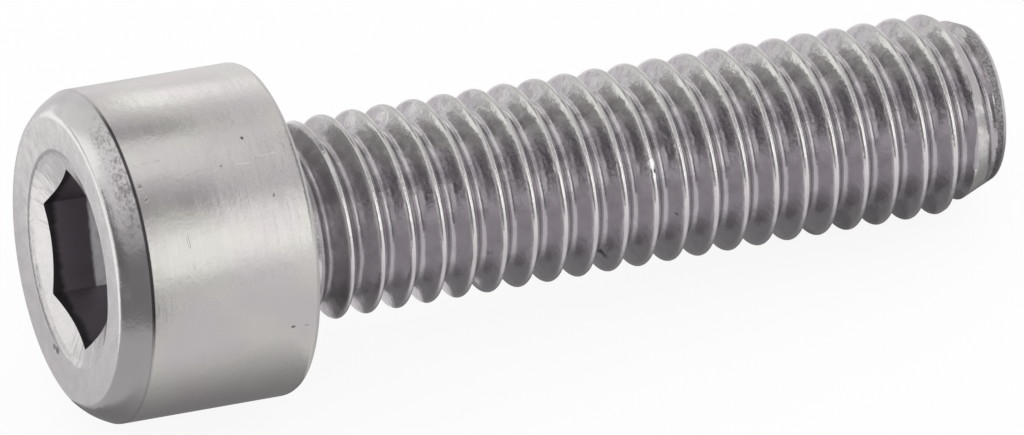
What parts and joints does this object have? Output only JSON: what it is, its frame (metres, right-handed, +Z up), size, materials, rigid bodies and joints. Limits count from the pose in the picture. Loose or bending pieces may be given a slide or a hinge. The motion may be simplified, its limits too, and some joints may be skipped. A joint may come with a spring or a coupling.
{
  "type": "hex socket cap screw",
  "caption": "Fully threaded M8 cap screw with a cylindrical head, a bevelled top edge and a blind hexagon socket, lying on its side.",
  "frame": {"origin": "on the floor under the middle of the lying screw", "axes": "+X along the screw from its head to its point, +Z up; the screw's own axis dips 5.16 degrees towards the point, as it lies on the rim of its head and a thread crest"},
  "size_m": [0.0382, 0.0128, 0.0133],
  "materials": {
    "steel": "satin, bare stainless steel"
  },
  "bodies": {
    "root": {"cap_screw": "steel"}
  },
  "joints": []
}
